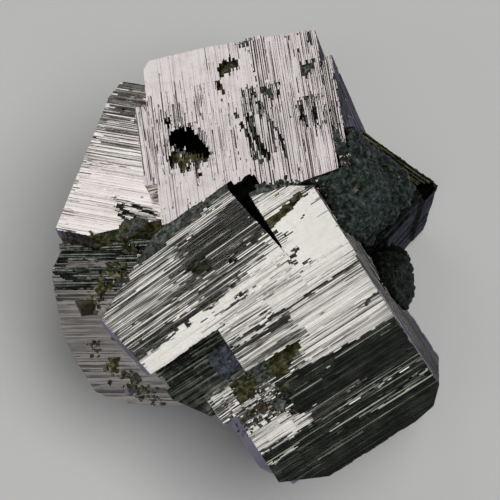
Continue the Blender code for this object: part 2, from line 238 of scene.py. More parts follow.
# Patches of the best faces, later ones over earlier ones
PATCHES = {
    "top": (
        Patch(box(-3, 13, -38, 1), 1.2, 3.4, 0.08, 0, ROSY),
        Patch(box(13, 19, -38, 1), 2.4, 4, 0.05, 0, ROSY),
        Patch(box(-3, 19, -38, -27), 1, 4, 0.3, 0, ROSY),
        Patch(box(19, 22, -16, 1), 3.5, 3.5, 0, 0, ROSY),
        Patch(((21.6, 1), (25.4, 1), (25, -9), (23.6, -15), (22.6, -13)), 10, 7, 0.1, -0.25, ROSY),
        Patch(box(25.2, 29, -16, 1), 6, 4.5, 0, 0, ROSY),
        Patch(box(19, 38, -38, -14), 4.6, 5.5, 0.15, 0, ROSY),
        Patch(((24, -15), (29, -14), (30, -24), (28, -34), (25, -34), (26, -24)), 6.5, 4.5, 0.05, 0, ROSY),
        Patch(box(29, 38, -14, 1), 5.2, 6, 0.12, 0, ROSY),
        Patch(box(4, 12, -17, -10), 3, 6.5, 0.55, 0, ROSY),
        Patch(box(-0.5, 4.6, -24, -11.5), 5, 7, 0.6, 0, ROSY),
        # a pit painted black: painted shade
        Patch(((3.4, -14.6), (4.6, -14.4), (4.4, -17.2), (3.6, -17)), 16, 8, 0.8, -0.5, BLACK_SHADE),
        Patch(((10.4, -15.4), (12.4, -14.8), (12.8, -16.6), (11, -17.4)), 10, 8, 0.9, -0.5, BAND),
        Patch(box(11, 17, -27, -14), 3, 5.5, 0.5, 0, ROSY),
        Patch(box(19, 26.5, -18, -12), 6, 9, 0.75, -0.2, ROSY),
        Patch(box(19, 24.5, -28, -18), 5.5, 8.5, 0.4, -0.1, ROSY),
        # narrow striae sunk below the face and painted dark, here and below: painted shade in the cracks
        Patch(((21.2, -13), (22, -12.6), (22.6, -17.5), (22, -17.6)), 20, 8, 0.6, -0.5, DARK_SHADE),
        Patch(((22.6, -12.4), (24.8, -12.8), (25.4, -15.4), (24.6, -16), (23.4, -14.2)), 12, 10, 0.9,
              -0.5, BAND),
        Patch(((19.2, -18.2), (19.9, -18), (21.4, -23.5), (22.8, -27.6), (21.6, -28.2), (20.2, -23.5)),
              20, 9, 0.8, -0.6,
              DARK_SHADE),
        Patch(((23, -18), (23.5, -18), (25.8, -24), (26.2, -29), (25.6, -29), (25.2, -24.3)), 18, 8, 0.4,
              -0.4, DARK_SHADE),
        Patch(((17, -16.5), (17.5, -16.4), (19.4, -22.5), (21.4, -29.5), (20.8, -29.6), (18.8, -23)), 18,
              8, 0.4, -0.3,
              DARK_SHADE),
        Patch(((26.3, -12.6), (27, -12.5), (26.6, -15.5), (26, -15.4)), 20, 8, 0.6, -0.5, DARK_SHADE),
        Patch(box(30, 35.5, -24, -17), 7, 9, 0.75, -0.3, ROSY),
        Patch(((30, -17.8), (30.9, -17.6), (30.8, -21.5), (30, -22)), 20, 8, 0.6, -0.5, DARK_SHADE),
        Patch(((32.6, -19), (33.2, -19), (33, -23), (32.4, -23)), 20, 8, 0.6, -0.5, DARK_SHADE),
        Patch(((35.2, -14), (36, -14), (35.8, -17.8), (35, -17.6)), 20, 8, 0.6, -0.5, DARK_SHADE),
        Patch(((31, -10.6), (33, -9.4), (34.6, -9.6), (34.2, -11.2), (32.4, -12.6), (31.2, -11.8)), 7, 10,
              0.95, -0.3,
              BAND),
        Patch(box(35, 39, -29, -8), 6, 8, 0.7, 0, ROSY),
        Patch(((28.6, -1), (29.6, -1), (30.6, -2.8), (29.8, -2.9)), 16, 8, 0.6, -0.9, DARK_SHADE),
        Patch(((31.6, 0), (32, 0), (32, -3.4), (31.5, -3.2)), 16, 8, 0.6, -0.5, DARK_SHADE),
        Patch(((34, -1.5), (34.5, -1.5), (34.4, -7), (33.9, -6)), 16, 8, 0.4, -0.4, DARK_SHADE),
        Patch(box(16, 17.2, -0.7, 1), 16, 6, 0.4, -0.9, DARK_SHADE),
        Patch(((19, 1), (21.4, 1), (21.9, -2.6), (21.4, -3.4), (20.2, -2.6), (19.2, -1.4)), 8, 10, 0.85,
              -0.9, BAND),
        Patch(box(-3, 1, -28.5, -9), 6.5, 5.5, 0.45, 0, ROSY),
        # the hollows
        Patch(((3.2, -16.6), (9, -16.8), (11, -20), (12, -25.5), (7.8, -27.5), (3, -26)), 4, 8, 0.7, -0.3,
              ROSY),
        Patch(((3.2, -25.5), (10.9, -25.8), (11.3, -24.2), (9.4, -23), (7, -22), (3.4, -22.2)), 6, 6, 0.4,
              -2,
              OLIVE),
        # the deepest hollow is painted black: painted shade
        Patch(((4, -17.6), (7.2, -17.2), (8.8, -18.2), (9.6, -20), (10.8, -22.4), (11.3, -24.6),
               (9.6, -23.8),
               (7.2, -22.6), (5.4, -21), (3.6, -20.6)), 20, 8, 0.4, -5, BLACK_SHADE),
        Patch(((4.2, -20.9), (6.6, -21.2), (6.9, -22.2), (4.4, -22.3)), 2, 9, 0.95, -2, ROSY),
        # two hollows painted dark: painted shade
        Patch(((5, -25.6), (7.4, -25.8), (6.8, -27.4), (5.6, -27.8)), 10, 5, 0.5, -1.4, DARK_SHADE),
        Patch(((7.9, -28.4), (8.3, -27.4), (9.2, -27.6), (8.8, -29)), 10, 5, 0.5, -1.2, DARK_SHADE),
        Patch(((15, -6), (16.2, -4.6), (18.2, -4.4), (19.4, -5.8), (19.6, -7.2), (17.6, -8),
               (15.4, -7.8)), 8, 9,
              0.8, -1.3, OLIVE),
        Patch(((16.8, -5.4), (18.4, -5.8), (18.6, -7), (17.2, -6.8)), 4, 9, 0.9, -0.9, BAND),
        Patch(((14.2, -9.6), (15, -9), (15.8, -9.6), (16, -11.4), (15.4, -12), (14.4, -10.8)), 10, 8, 0.8,
              -1.1,
              OLIVE),
    ),
    "left": (
        Patch(box(0, 32, -3.5, 1), 24, 6, 0.2),
        Patch(box(0, 32, -9, -3.5), 14.5, 7, 0.1),
        Patch(box(0, 32, -14, -9), 5.5, 5.5),
        Patch(box(0, 32, -20, -14), 2.5, 4),
        Patch(box(0, 32, -37, -20), 0.3, 2),
        Patch(((13, -15), (19, -15), (20, -26), (15.5, -24)), 3, 8, 0.7, -0.1),
        Patch(((9, -26.5), (12, -27.2), (20, -29), (20, -33), (14, -33.6), (11, -30)), 1.5, 6, 0.5, -0.1),
        Patch(((10, -27.8), (11.4, -28), (13, -30.5), (15.6, -32.6), (15, -33.6), (12.2, -31.4)), 14, 8,
              0.9, -0.5, BAND),
        # two sunk lines painted dark: painted shade in the cracks
        Patch(((13, -27.6), (19, -29.4), (19, -29.8), (13.2, -28.2)), 20, 6, 0.2, -0.3, DARK_SHADE),
        Patch(((12.4, -29.4), (18.6, -31.4), (18.6, -31.8), (12.4, -30)), 20, 6, 0.2, -0.3, DARK_SHADE),
    ),
    "low": (
        Patch(box(-1, 36, -10, 2.5), 8, 8, 0.3, 0, DULL),
        # the upper strip, under the crystal above, is painted dark: painted shade
        Patch(box(-1, 36, -8, 2.5), 13, 10, 0.6, 0, DARK_SHADE),
        Patch(((3, -2.4), (9, -2.2), (12, -3.2), (12, -4), (3, -3.2)), 3, 8, 0.8, 0.25, DULL),
        Patch(((6, -5.2), (14, -4.8), (14, -5.6), (6, -6.2)), 3, 8, 0.8, 0.25, DULL),
    ),
    "front": (
        # the upper left block
        Patch(box(-34, 6, -7, 15), 13, 6),
        Patch(box(-34, -14, -1, 15), 11, 7),
        Patch(((-29, -5), (-15, -4.5), (-12, 0), (-29, 1)), 16, 6),
        Patch(((-12, 1), (5, 0.5), (4, 9.5), (-12, 9)), 16, 5.5),
        Patch(box(-20, 3, 8.5, 15), 8.5, 6.5),
        Patch(box(-34, -20, -2.5, 0.5), 11, 6),
        Patch(box(-20, -12, -3, 0), 8, 8, 0.55),
        Patch(((-20, 9.2), (2.6, 11.4), (2.2, 14), (-20, 13)), 6, 7, 0.8, -0.1, BAND),
        Patch(((-5, 10.4), (-0.5, 11), (1, 9.8), (-2, 9.6)), 3, 7, 0.9, -0.1),
        # the bright band and what runs on from it
        Patch(((-34, -9.8), (-12, -9.8), (-12, -4.3), (-34, -6.2)), 0.3, 1.2),
        Patch(((-13, -11), (5.5, -11), (5.5, -1.6), (-2, -2.4), (-13, -4.6)), 1, 3, 0.3),
        Patch(((-13, -4.6), (-2, -2.4), (4.5, -1.4), (4.5, -2.2), (-2, -3.4), (-13, -5.4)), 5, 6, 0.5),
        Patch(((-13.4, -5.4), (-4.6, -3.3), (-4.4, -3), (-13.2, -5)), 20, 5, 0.3, -0.15),
        Patch(box(-13, -4, -7.2, -6.6), 9, 7, 0.9),
        Patch(((4.8, -9), (17.5, -9), (17.5, 3.9), (14, 3), (4.8, 0.9)), 0, 0.9, 0.02),
        Patch(box(4.8, 14.8, 3, 8.6), 3.5, 5, 0, -0.15),
        Patch(((4.8, 0.9), (14.4, 3.1), (13.5, 4), (8.5, 3.2), (4.8, 2.9)), 10, 6, 0.3, -0.35, OLIVE),
        Patch(((-9.3, -6.4), (-6.4, -6.6), (-6.2, -5.2), (-7.6, -5.8)), 9, 8, 0.6, -0.3, OLIVE),
        Patch(((-19.3, -5.9), (-17.8, -5.6), (-17.8, -4.3), (-18.4, -4.4)), 9, 8, 0.6, -0.3, BAND),
        Patch(((5.2, -5.6), (6.4, -5.9), (7.6, -4.4), (6.2, -4.2), (5.6, -5)), 14, 8, 0.9, -0.4, BAND),
        # a small sunk patch painted dark: painted shade
        Patch(((11, -0.4), (11.5, -0.5), (11.8, 0.3), (11.2, 0.2)), 14, 8, 0.9, -0.4, DARK_SHADE),
        Patch(box(-3.5, 17.5, -13.2, -8.7), 1.2, 3.4, 0.15, 0.45),
        Patch(((2, -5.6), (5.2, -6.4), (8, -8.4), (7.2, -8.6), (4.6, -6.9)), 16, 6, 0.6, -0.1),
        # the steps of the lower block, from its upper edge down
        Patch(box(-14, -3.5, -14.2, -8.7), 1.8, 4, 0.1),
        Patch(((-10, -12.2), (-4, -12.6), (-4, -11.2), (-7, -11.6)), 7, 7, 0.5),
        Patch(((-14, -13.6), (0, -13.4), (17.5, -13.2), (17.5, -12.7), (2, -12.8), (-14, -13)), 17, 5,
              0.1, 0.1),
        Patch(box(-14, -0.5, -15.2, -14.2), 18, 5, 0.1, 0.1),
        Patch(box(-14, -2, -17.6, -15.2), 6.5, 5.5),
        Patch(box(-14, -2, -20, -17.6), 12, 6),
        Patch(box(-0.5, 17.5, -24, -13.5), 3.2, 3.8, 0.04, 0.5),
        Patch(box(-3, 17.5, -24, -19.5), 3.6, 3.6, 0.02, 0.5),
        Patch(((10.5, -20.4), (12.2, -20.2), (16.2, -19.4), (16.2, -20), (12, -20.8)), 20, 4, 0.3, 0.3),
        # the lower zones here are painted a darker greenish metal: painted shade
        Patch(box(-9.5, 17.5, -28, -23.6), 15, 5, 0.03, 0.45, PAINTED_SHADE),
        Patch(((-9.5, -23.6), (17.5, -23.6), (17.5, -25), (4, -25)), 8, 6, 0.03, 0.45),
        Patch(box(-9.5, 17.5, -32.6, -27), 17.5, 4.5, 0.02, 0.45, PAINTED_SHADE),
        Patch(box(-23, 17.5, -46, -34.2), 17.5, 4, 0.02, 0.1, PAINTED_SHADE),
        Patch(box(-9.5, 17.5, -35, -32), 17.5, 4.5, 0.02, 0.4, PAINTED_SHADE),
        Patch(box(-8, 17.5, -34.9, -34.3), 8, 7, 0.6, 0.1),
        Patch(box(-8, 17.5, -38.2, -36.6), 16, 8, 0.6, 0.1, PAINTED_SHADE),
        Patch(box(-9.5, 4, -32.6, -31.6), 11, 6, 0.3, 0.4),
        # the broken corner and the bright patch under it
        Patch(((-22.5, -26), (-10, -26), (-10, -23.8), (-14, -20.4), (-18, -20.4), (-18.4, -18.5),
               (-22.5, -19.5)),
              5.5, 8, 0.75),
        Patch(((-22.4, -21.6), (-18.3, -21.4), (-18.4, -18.7), (-22.2, -20.2)), 0.4, 3, 0.3),
        Patch(((-18.4, -23.4), (-13.5, -24), (-12, -21.4), (-13.5, -19.3), (-18.3, -19.6)), 9, 8, 0.7,
              -0.5, OLIVE),
        Patch(((-14, -22.6), (-10.4, -22.8), (-10.4, -19.2), (-13.8, -19.2)), 8, 8, 0.9, -0.4, BAND),
        Patch(((-10.4, -23.6), (-8, -23.4), (-2.9, -20.6), (-2.2, -19.3), (-10.4, -19.3)), 9, 8, 0.7,
              -0.6, OLIVE),
        Patch(((-22.5, -27.9), (-13, -28.9), (-9.8, -28.2), (-9.8, -24.5), (-22.5, -25.2)), 6, 10, 0.95,
              -0.5),
        Patch(((-22.2, -26.4), (-17, -27), (-17, -25.6), (-19, -25.8), (-22.2, -25.4)), 8, 8, 0.8, -0.6,
              OLIVE),
        Patch(((-14.6, -28), (-11.2, -28.6), (-10.8, -26.4), (-13, -26)), 8, 8, 0.9, -0.6, BAND),
        Patch(((-10.9, -31.2), (-9.4, -31.4), (-9.6, -28), (-10.2, -23), (-10.9, -26)), 20, 8, 0.7, -1,
              BAND),
        Patch(((-22.5, -34.3), (-8.3, -34), (-8, -32.6), (-10.8, -30.6), (-13, -29), (-22.5, -27.9)), 0.9,
              3, 0.12),
        Patch(((-22.5, -33.4), (-16, -33.2), (-12, -33.6), (-12, -33.9), (-22.5, -33.8)), 16, 5, 0.2),
        Patch(box(-22.5, -14, -36.6, -36.1), 1, 2, 0.1),
        # hollows
        Patch(((-12.6, 3.6), (-9.6, 4.6), (-8.4, 2.6), (-8.8, 0.9), (-10.4, 1.2), (-12.2, 2.6)), 9, 8,
              0.7, -0.9, OLIVE),
        Patch(((-11.2, 3.4), (-9.8, 3.9), (-9.4, 2), (-10.4, 1.6)), 9, 8, 0.7, -1.3, BAND),
        # hollows painted dark: painted shade
        Patch(((-5.4, -0.8), (-4.2, -1.1), (-3.2, 0), (-4, 0.9), (-5.2, 0.4)), 14, 8, 0.8, -1.2, DARK_SHADE),
        Patch(((-8.5, -4.6), (-7.7, -4.8), (-7.4, -4), (-8.2, -3.9)), 14, 8, 0.8, -0.6, DARK_SHADE),
    ),
    "right": (
        Patch(box(-30, 2, -4.6, 2), 9, 11, 0.1, 0, GOLDEN),
        # a hollow painted black: painted shade
        Patch(((-4, -4.6), (2, -4.6), (2, 0), (-1.5, -0.6)), 16, 8, 0.8, -0.8, BLACK_SHADE),
    ),
}

# Small crystals grown on the larger ones: the crystal, a place on it, an edge length, a turn and a finish
BIT_UNEVEN = 0.22
CRUMB_SHAPE = (0.5, 1)  # sides of a crumb, in shares of its edge
DROP_HEIGHT = 0.1
BUDS = (
    ("low", (6.8, -11.6, 0.1), 2.6, (20, 30, 12), BRASSY),
    ("low", (10.1, -8.1, -0.2), 1.8, (-25, 18, 40), OLIVE),
    ("low", (12.6, -17.5, -0.4), 1.2, (35, -20, 25), OLIVE),
    ("low", (12.2, -22.4, -0.6), 2.0, (15, 35, 10), OLIVE),
    ("low", (16.6, -25.9, -0.7), 2.2, (-30, 10, 33), BAND),
    ("front", (-8.6, -25.6, -0.9), 1.6, (28, 22, 15), OLIVE),
    ("front", (-11.4, -28.2, -0.8), 1.8, (-18, 30, 40), BAND),
    ("front", (-14.8, -26.6, -0.9), 1.7, (40, 10, 20), BRASSY),
)


class Crumbs(NamedTuple):
    """Bits scattered along a line in the picture plane: how widely, how many, their edges and finishes."""

    start: tuple
    end: tuple
    scatter: float
    count: int
    edge: tuple
    finishes: tuple


CRUMBS = (
    Crumbs((17.6, 17.0), (18.8, 16.8), 1.1, 34, (0.4, 0.9), (CLEAN, CLEAN, ROSY, BRASSY)),
    Crumbs((20.0, 12.0), (20.6, 12.2), 0.8, 12, (0.4, 0.8), (BRASSY, GOLDEN, CLEAN)),
    Crumbs((23.2, 18.0), (23.6, 17.8), 0.5, 4, (0.3, 0.6), (BRASSY, CLEAN)),
    Crumbs((24.8, 19.2), (30.6, 14.6), 0.4, 26, (0.2, 0.45), (BRASSY, BRASSY, GOLDEN)),
    # some crumbs here and below wear the dark metal of the painted shade
    Crumbs((2.4, 12.0), (5.4, 12.6), 0.9, 22, (0.3, 0.8), (BAND, BAND, CLEAN, DARK_SHADE)),
    Crumbs((5.4, 12.6), (12.6, 12.6), 0.9, 44, (0.3, 0.8), (BAND, BAND, CLEAN, DARK_SHADE)),
    Crumbs((12.6, 12.6), (14.6, 9.6), 0.8, 22, (0.3, 0.7), (BAND, CLEAN, DARK_SHADE)),
    Crumbs((-28.6, -5.4), (-25.4, -4.6), 2.0, 18, (0.5, 1.3), (OLIVE, OLIVE, BRASSY)),
    Crumbs((-31.6, -10.4), (-29.8, -11.6), 2.2, 14, (0.4, 1.0), (OLIVE, BRASSY)),
    Crumbs((-31.0, -18.2), (-29.8, -20.0), 1.6, 12, (0.4, 0.9), (OLIVE, OLIVE, DARK_SHADE)),
    Crumbs((-26.8, -23.6), (-25.2, -25.4), 1.8, 18, (0.4, 1.1), (OLIVE, OLIVE, BRASSY)),
    # some crumbs here and below are painted lavender: a painted reflection
    Crumbs((-24.4, -24.6), (-22.4, -28.4), 1.8, 24, (0.5, 1.2), (BAND, LAVENDER_REFLECTION, OLIVE)),
    Crumbs((-21.4, -27.6), (-17.2, -30.0), 1.6, 22, (0.4, 1.0), (OLIVE, BAND)),
    Crumbs((-3.8, -34.6), (5.2, -31.2), 2.0, 42, (0.3, 0.9), (BRASSY, BAND, LAVENDER_REFLECTION, CLEAN, CLEAN)),
    Crumbs((-1.0, -30.6), (6.6, -26.4), 3.2, 26, (0.3, 0.8), (OLIVE, BAND, CLEAN)),
    Crumbs((-24.4, 3.0), (-22.0, -1.8), 1.8, 30, (0.5, 1.3), (OLIVE, OLIVE, BAND, BRASSY)),
    Crumbs((-31.0, 3.6), (-25.0, 2.6), 0.8, 26, (0.3, 0.7), (OLIVE, BAND)),
)

# Rock: how coarse the mesh is, and the size and height of its grains
ROCK_CELL = 0.3
ROCK_OVERLAP = 0.4  # the rock runs this far into the crystals that it touches
ROCK_WAVES = ((5.0, 0.9), (1.8, 0.5))
ROCK_GRAINS = ((2.4, 1.3), (1.0, 0.7))
GRAIN_CREST = 0.5  # grains are flat above this share of their size
WELD = 0.001  # corners this close are one
FLOOR_SKIN = 0.5  # rock this close to the floor stays as it was cut
# Where a lump is cut back: a place on the cut and the way to the waste, in picture axes
ROCK_CUTS = {"matrix_corner": ((29.0, -1.2, -8.0), (-0.29, 0.96, 0.3))}

FLOOR_SIZE = 8.0
FLOOR_COLOUR = (0.72, 0.72, 0.71, 1)
FLOOR_ROUGHNESS = 0.85


class Light(NamedTuple):
    """A softbox: its direction in picture axes, its distance and size in metres, its brightness."""

    name: str
    direction: tuple
    distance: float
    size: float
    radiance: float
    colour: tuple = (1, 1, 1)


LIGHTS = (
    Light("front_face_light", (-0.18, -0.16, 0.97), 1.4, 0.5, 1.2, (1.0, 1.0, 0.975)),
    Light("top_face_light", (-0.38, 0.80, 0.47), 1.4, 0.7, 1.2, (1.0, 0.965, 0.97)),
    Light("low_face_light", (-0.55, -0.14, 0.82), 1.4, 0.40, 1.6),
    Light("right_light", (0.96, 0.10, 0.20), 1.5, 0.7, 0.5),
    Light("left_light", (-0.98, -0.10, 0.15), 1.5, 0.6, 0.4),
    Light("near_light", (0.10, -0.97, 0.20), 1.5, 0.7, 0.5),
    Light("back_light", (0.25, 0.93, -0.15), 1.5, 0.7, 0.5),
)
FLOOR_LIGHT = Light("floor_light", (0.3, 0.2, 0.9), 2.0, 1.5, 3.6)
ROOM_TONES = ((0.0, (0.085, 0.083, 0.12)), (0.25, (0.022, 0.024, 0.026)), (0.6, (0.01, 0.012, 0.01)),
              (1.0, (0.012, 0.014, 0.012)))

# Fine lines on the pyrite, in the material: lines in a metre, their length for their width, their height
LINE_FREQUENCY = 5000.0
LINE_STRETCH = 35.0
LINE_HEIGHT = 0.000012
OWN_PLACE = "own_place"  # the attribute that holds a place along the crystal's own axes
PYRITE_STOPS = (0.36, 0.5, 0.64)  # where a finish's colours stand in its noise
COATING_SPECULAR = 0.15

ROCK_STOPS = (0.34, 0.46, 0.55, 0.66)
ROCK_ROUGHNESS = 0.32
ROCK_BUMP = 0.8
ROCK_BUMP_GRAINS = 2200
ROCK_BUMP_HEIGHT = 0.00016


class Look(NamedTuple):
    """A finish of the pyrite: three colours it varies between, its roughness and its lines' strength."""

    name: str
    metallic: float
    colours: tuple
    roughness: tuple
    bump: float
    grains: float = 250  # colour patches in a metre
    coarse: float = 0  # height of the grains, in metres, where the finish is granular


FINISHES = {
    CLEAN: Look("pyrite_clean", 1.0, ((0.72, 0.70, 0.66), (0.82, 0.79, 0.755), (0.87, 0.84, 0.80)),
                (0.19, 0.26), 0.6),
    ROSY: Look("pyrite_rosy", 1.0, ((0.56, 0.52, 0.515), (0.66, 0.62, 0.615), (0.72, 0.68, 0.675)),
               (0.2, 0.27), 0.6),
    # painted shade: a darker greenish metal for the lower zones of the front crystal, standing in for their
    # shade
    PAINTED_SHADE: Look("pyrite_tarnished", 1.0, ((0.29, 0.32, 0.27), (0.36, 0.39, 0.335), (0.45, 0.48, 0.42)),
                    (0.2, 0.27), 0.6),
    DULL: Look("pyrite_dull", 0.8, ((0.36, 0.34, 0.34), (0.44, 0.415, 0.40), (0.5, 0.47, 0.44)),
               (0.3, 0.38), 0.7),
    GOLDEN: Look("pyrite_golden", 1.0, ((0.16, 0.16, 0.09), (0.3, 0.29, 0.17), (0.55, 0.5, 0.32)),
                 (0.2, 0.3), 0.6, 500),
    BAND: Look("pyrite_coated", 0.2, ((0.07, 0.085, 0.07), (0.27, 0.30, 0.265), (0.72, 0.76, 0.70)),
               (0.3, 0.45), 1.0,
               1400, 0.00014),
    # painted reflection: a pale lavender that stands in for what the side faces of the front crystal reflect
    LAVENDER_REFLECTION: Look("pyrite_lavender", 0.4, ((0.42, 0.4, 0.56), (0.56, 0.53, 0.72), (0.66, 0.63, 0.8)),
                   (0.4, 0.5), 0.4),
    OLIVE: Look("pyrite_olive", 0.2, ((0.05, 0.05, 0.015), (0.24, 0.23, 0.095), (0.72, 0.70, 0.42)),
                (0.3, 0.45), 1.0,
                900, 0.00016),
    # painted shade: a dark metal for the cracks, hollows and gaps and the upper strip of the low crystal;
    # the right crystal and some crumbs wear it all over
    DARK_SHADE: Look("pyrite_dark", 0.9, ((0.10, 0.11, 0.095), (0.17, 0.185, 0.16), (0.3, 0.31, 0.27)),
               (0.2, 0.3), 0.8,
               600, 0.00003),
    # painted shade: a near black for the deep pits, the channel and the gaps
    BLACK_SHADE: Look("pyrite_pit", 0.0, ((0.002, 0.002, 0.002), (0.006, 0.006, 0.004), (0.02, 0.02, 0.014)),
                (0.7, 0.9), 0.5,
                900, 0.0001),
    BRASSY: Look("pyrite_brassy", 1.0, ((0.42, 0.36, 0.2), (0.62, 0.54, 0.34), (0.8, 0.72, 0.52)),
                 (0.2, 0.3), 0.6),
}


class Rock(NamedTuple):
    """A kind of rock: four colours from its dark to its light grains, and grains in a metre."""

    name: str
    colours: tuple
    grains: float = 800


GREEN_ROCK = Rock("grey_green_rock",
                  ((0.01, 0.014, 0.01), (0.065, 0.092, 0.065), (0.22, 0.29, 0.26), (0.65, 0.75, 0.8)))
BLUE_ROCK = Rock("blue_grey_rock",
                 ((0.05, 0.055, 0.06), (0.16, 0.18, 0.22), (0.34, 0.38, 0.48), (0.7, 0.76, 0.9)), 1000)
PALE_ROCK = Rock("pale_green_rock",
                 ((0.05, 0.055, 0.03), (0.18, 0.2, 0.13), (0.38, 0.42, 0.36), (0.75, 0.8, 0.74)), 1000)
BROWN_ROCK = Rock("brown_grey_rock",
                  ((0.01, 0.014, 0.008), (0.045, 0.06, 0.038), (0.1, 0.13, 0.09), (0.28, 0.34, 0.26)))
ROCKS = {"matrix_main": GREEN_ROCK, "matrix_right": GREEN_ROCK, "matrix_pocket": PALE_ROCK,
         "matrix_notch": BLUE_ROCK, "matrix_corner": BROWN_ROCK}


def lean_matrix():
    """From picture axes in metres to the resting group."""
    lean = Matrix.Rotation(math.radians(LEAN), 4, "X")
    return Matrix.Translation((0, -BASE_BACK * MM, BASE_BELOW * MM)) @ lean


def turn_matrix(angles):
    return Euler([math.radians(angle) for angle in angles]).to_matrix().to_4x4()


def crystal_matrix(name):
    """From a crystal's own axes in metres to the resting group."""
    crystal = CRYSTALS[name]
    return lean_matrix() @ Matrix.Translation(Vector(crystal.origin) * MM) @ turn_matrix(crystal.turn)


def link(obj):
    bpy.context.scene.collection.objects.link(obj)
    return obj


def evaluated_mesh(obj):
    bpy.context.view_layer.update()
    graph = bpy.context.evaluated_depsgraph_get()
    return bpy.data.meshes.new_from_object(obj.evaluated_get(graph), depsgraph=graph)


def combine(target, other, operation):
    """Joins, cuts or intersects target with other, and removes other."""
    modifier = target.modifiers.new(operation.lower(), "BOOLEAN")
    modifier.operation = operation
    modifier.solver = "MANIFOLD"
    modifier.object = other
    mesh = evaluated_mesh(target)
    target.modifiers.clear()
    target.data = mesh
    bpy.data.objects.remove(other)


def plain_box(low, high, slot=0):
    size = [b - a for a, b in zip(low, high)]
    middle = [(a + b) / 2 for a, b in zip(low, high)]
    mesh = bpy.data.meshes.new("box")
    wear_finishes(mesh)
    box = bmesh.new()
    bmesh.ops.create_cube(box, size=1, matrix=Matrix.Translation(middle) @ Matrix.Diagonal((*size, 1)))
    for face in box.faces:
        face.material_index = slot
    box.to_mesh(mesh)
    box.free()
    return link(bpy.data.objects.new("box", mesh))


# Striated surfaces

def split(low, high, widths, rng):
    """Cuts a stretch into lengths drawn from a range."""
    edges = [low]
    while edges[-1] < high:
        edges.append(edges[-1] + rng.uniform(*widths))
    return np.array(edges)


def split_rows(low, high, widths, rng):
    """Cuts a stretch into striae and the narrow grooves between some of them."""
    edges = [low]
    grooves = []
    while edges[-1] < high:
        groove = rng.random() < GROOVE_SHARE
        edges.append(edges[-1] + rng.uniform(*(GROOVE_WIDTH if groove else widths)))
        grooves.append(groove)
    return np.array(edges), grooves


def growth_steps(edges, rng):
    """The depth of the broad growth steps below the face, for each stria."""
    depths = []
    depth = rng.uniform(0, STEP_RISE)
    left = rng.uniform(*STEP_WIDTH)
    for width in np.diff(edges):
        left -= width
        if left < 0:
            left = rng.uniform(*STEP_WIDTH)
            change = rng.choice((-1, 1)) * rng.uniform(0.5, 1) * STEP_RISE
            if not 0 <= depth + change <= STEP_DEPTH:
                change = -change
            depth += change
        depths.append(depth)
    return depths


def wander(places, rng):
    """A smooth random course around zero, along the striae."""
    knots = np.arange(places[0], places[-1] + COURSE, COURSE)
    return np.interp(places, knots, [rng.gauss(0, 1) for _ in knots])


def relief(across, along, grain, patch_at, sense, rng):
    """A striated surface: its rows, its columns, its depth at each crossing and the finish between them."""
    rows, grooves = split_rows(across[0], across[1], grain.row, rng)
    cells = split(along[0], along[1], grain.column, rng)
    steps = growth_steps(rows, rng)
    count = len(cells) - 1
    depth = np.zeros((2 * (len(rows) - 1), 2 * count))
    finish = np.zeros((len(rows) - 1, count), int)
    for k, step in enumerate(steps):
        width = rows[k + 1] - rows[k]
        u = (rows[k] + rows[k + 1]) / 2
        shift = rng.gauss(0, 1)
        rib = RIB if k % 2 else -RIB
        course = wander(cells[:-1], rng)
        start = 0
        while start < count:
            patch = patch_at(u, cells[start], shift)
            reach = rng.expovariate(1 / (WHOLE_RUN * (1 - patch.broken) ** 2 + BROKEN_RUN))
            end = start + 1
            while end < count and cells[end] - cells[start] < reach:
                if patch_at(u, cells[end], shift) is not patch:
                    break
                end += 1
            streak = noise.noise((cells[start] / STREAK_LENGTH, u / STREAK_WIDTH, patch.turn))
            uneven = rib + OWN_SHARE * rng.gauss(0, 1) + STREAK_SHARE * streak
            turn = patch.turn + patch.spread * (uneven + COURSE_SHARE * course[start:end])
            base = SKIN + step - patch.rise + rng.uniform(-LEVEL_JITTER, LEVEL_JITTER)
            chance = rng.random()
            if chance < DASH_SHARE:
                end = min(end, start + 1)
                turn = np.array([DASH_TURN])
                base += rng.uniform(*DASH_DEPTH)
            elif chance < DASH_SHARE + GLINT_SHARE:
                turn = np.abs(turn) * GLINT_TURN
            length = cells[end] - cells[start]
            turn = np.repeat(np.abs(turn), 2) * (sense if rng.random() < ALIKE else -sense)
            if grooves[k] and rng.random() < GROOVE_OPEN:
                base += rng.uniform(*GROOVE_DEPTH)
            if patch.broken and rng.random() < CHIP_SHARE * patch.broken:
                base += rng.expovariate(1 / CHIP_DEPTH)
            slope = rng.gauss(0, SLOPE_WHOLE + SLOPE_BROKEN * patch.broken) * min(length, SLOPE_REACH)
            rise = width / 2 * np.tan(np.radians(turn))
            incline = np.linspace(-slope, slope, 2 * (end - start)) / 2
            depth[2 * k, 2 * start:2 * end] = base - rise + incline
            depth[2 * k + 1, 2 * start:2 * end] = base + rise + incline
            finish[k, start:end] = patch.finish
            start = end
    row_at = np.column_stack((rows[:-1] + ROW_GAP / 2, rows[1:] - ROW_GAP / 2)).ravel()
    column_at = np.column_stack((cells[:-1] + ROW_GAP / 2, cells[1:] - ROW_GAP / 2)).ravel()
    wide = np.repeat(np.repeat(finish, 2, axis=0), 2, axis=1)
    finish = np.maximum(np.maximum(wide[:-1, :-1], wide[1:, 1:]), np.maximum(wide[1:, :-1], wide[:-1, 1:]))
    return row_at, column_at, depth, finish


